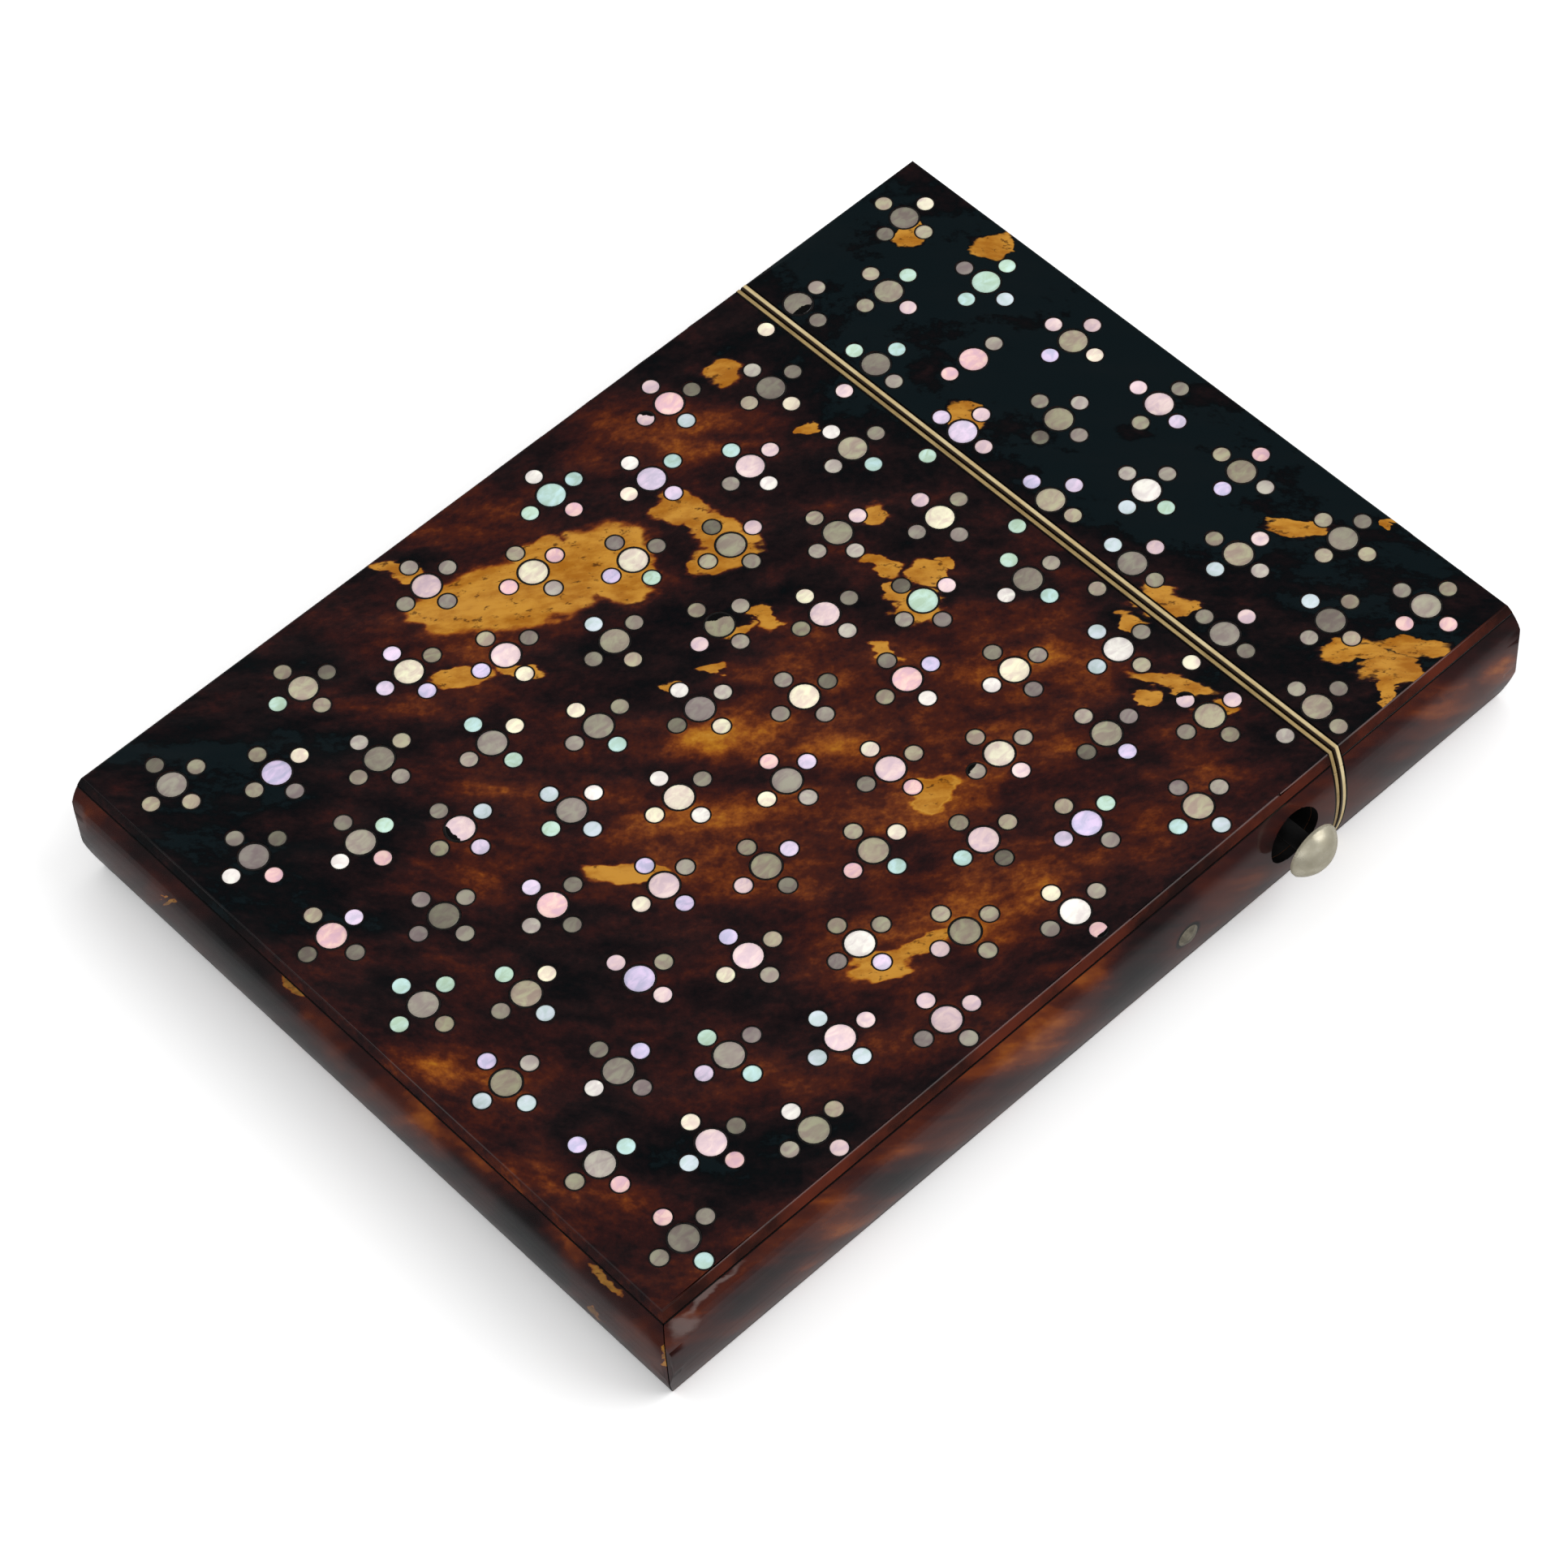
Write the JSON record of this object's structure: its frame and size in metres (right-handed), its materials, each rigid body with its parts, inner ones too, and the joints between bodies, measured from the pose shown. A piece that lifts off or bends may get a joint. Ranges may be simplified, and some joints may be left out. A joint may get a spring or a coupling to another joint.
{
  "type": "card case",
  "caption": "Flat tortoiseshell card case inlaid with mother-of-pearl discs, with a hinged end lid and a push-button catch.",
  "frame": {"origin": "middle of the closed case with its button and hinge, on the back face it lies on", "axes": "+X along the case towards the lid, +Y towards the hinge side, +Z from the back face to the front"},
  "size_m": [0.104, 0.0828, 0.0135],
  "materials": {
    "shell": "polished tortoiseshell, dark mottled red-brown",
    "pearl": "polished mother-of-pearl",
    "ivory": "aged satin ivory or bone",
    "wood": "bare thin hardwood",
    "silk": "ribbed silk",
    "nickel": "worn nickel silver"
  },
  "bodies": {
    "case_body": {"body_front_plate": "shell", "body_back_plate": "shell", "body_front_board": "wood", "body_back_board": "wood", "body_catch_side_veneer": "shell", "body_hinge_side_veneer": "shell", "body_end_veneer": "shell", "body_catch_side_rail": "wood", "body_hinge_side_rail": "wood", "body_end_rail": "wood", "body_front_lip": "ivory", "body_back_lip": "ivory", "body_catch_side_lip": "ivory", "body_hinge_side_lips": "ivory", "body_front_tongue": "silk", "body_back_tongue": "silk", "body_front_lining": "silk", "body_back_lining": "silk", "body_front_large_discs": "pearl", "body_front_small_discs": "pearl", "body_back_large_discs": "pearl", "body_back_small_discs": "pearl", "catch_rivet": "nickel", "catch_spring": "nickel", "hinge_body_leaf": "nickel", "hinge_pin": "nickel", "hinge_body_fixings": "nickel"},
    "catch": {"catch_button": "nickel", "catch_hook": "nickel"},
    "lid": {"hinge_lid_leaf": "nickel", "hinge_lid_fixings": "nickel", "lid_front_plate": "shell", "lid_back_plate": "shell", "lid_front_board": "wood", "lid_back_board": "wood", "lid_catch_side_veneer": "shell", "lid_hinge_side_veneer": "shell", "lid_end_veneer": "shell", "lid_catch_side_rail": "wood", "lid_hinge_side_rail": "wood", "lid_end_rail": "wood", "lid_front_lip": "ivory", "lid_back_lip": "ivory", "lid_catch_side_lip": "ivory", "lid_hinge_side_lips": "ivory", "lid_front_lining": "silk", "lid_back_lining": "silk", "lid_front_large_discs": "pearl", "lid_front_small_discs": "pearl", "lid_back_large_discs": "pearl", "lid_back_small_discs": "pearl", "catch_keeper": "nickel"}
  },
  "joints": [
    {"name": "lid_hinge", "type": "hinge", "parent": "case_body", "child": "lid", "pos_m": [0.0283, 0.04057, 0.00675], "axis": [0, 0, 1], "range_deg": [0, 100]},
    {"name": "catch_press", "type": "slide", "parent": "case_body", "child": "catch", "axis": [0, 1, 0], "range_m": [0, 0.0012], "stiffness_N_per_m": 1500, "deforming": ["catch_spring"]}
  ]
}
